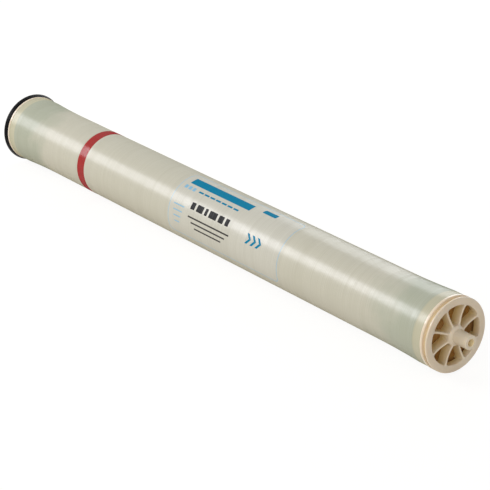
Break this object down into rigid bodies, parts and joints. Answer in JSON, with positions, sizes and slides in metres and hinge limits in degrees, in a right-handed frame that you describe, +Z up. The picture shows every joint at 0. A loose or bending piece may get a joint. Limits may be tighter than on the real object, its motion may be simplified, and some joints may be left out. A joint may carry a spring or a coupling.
{
  "type": "reverse osmosis membrane element",
  "caption": "Spiral-wound water filter element: a long shell with spoked end caps, a central tube that stands out at both ends, and a cup seal round the feed end.",
  "frame": {"origin": "on the axis of the permeate tube, at its tip on the feed side, where the brine seal is", "axes": "+X along the axis from the feed end to the brine end, the way the feed water flows, +Z up as the element lies in the picture"},
  "size_m": [1.016, 0.1054, 0.1053],
  "materials": {
    "permeate_tube": "satin",
    "tube_carrier": "matte",
    "membrane": "matte",
    "feed_spacer": "matte",
    "roll_tape": "gloss",
    "outer_wrap": "gloss",
    "end_cap": "satin",
    "brine_seal": "satin",
    "red_band": "satin",
    "label_film": "satin"
  },
  "bodies": {
    "root": {"permeate_tube": "permeate_tube", "tube_carrier": "tube_carrier", "membrane_leaf_1": "membrane", "membrane_leaf_2": "membrane", "membrane_leaf_3": "membrane", "membrane_leaf_4": "membrane", "membrane_leaf_5": "membrane", "feed_spacer_1": "feed_spacer", "feed_spacer_2": "feed_spacer", "feed_spacer_3": "feed_spacer", "feed_spacer_4": "feed_spacer", "feed_spacer_5": "feed_spacer", "roll_tape": "roll_tape", "outer_wrap": "outer_wrap", "feed_end_cap": "end_cap", "brine_end_cap": "end_cap", "brine_seal": "brine_seal", "red_band": "red_band", "label_film": "label_film"}
  },
  "joints": []
}
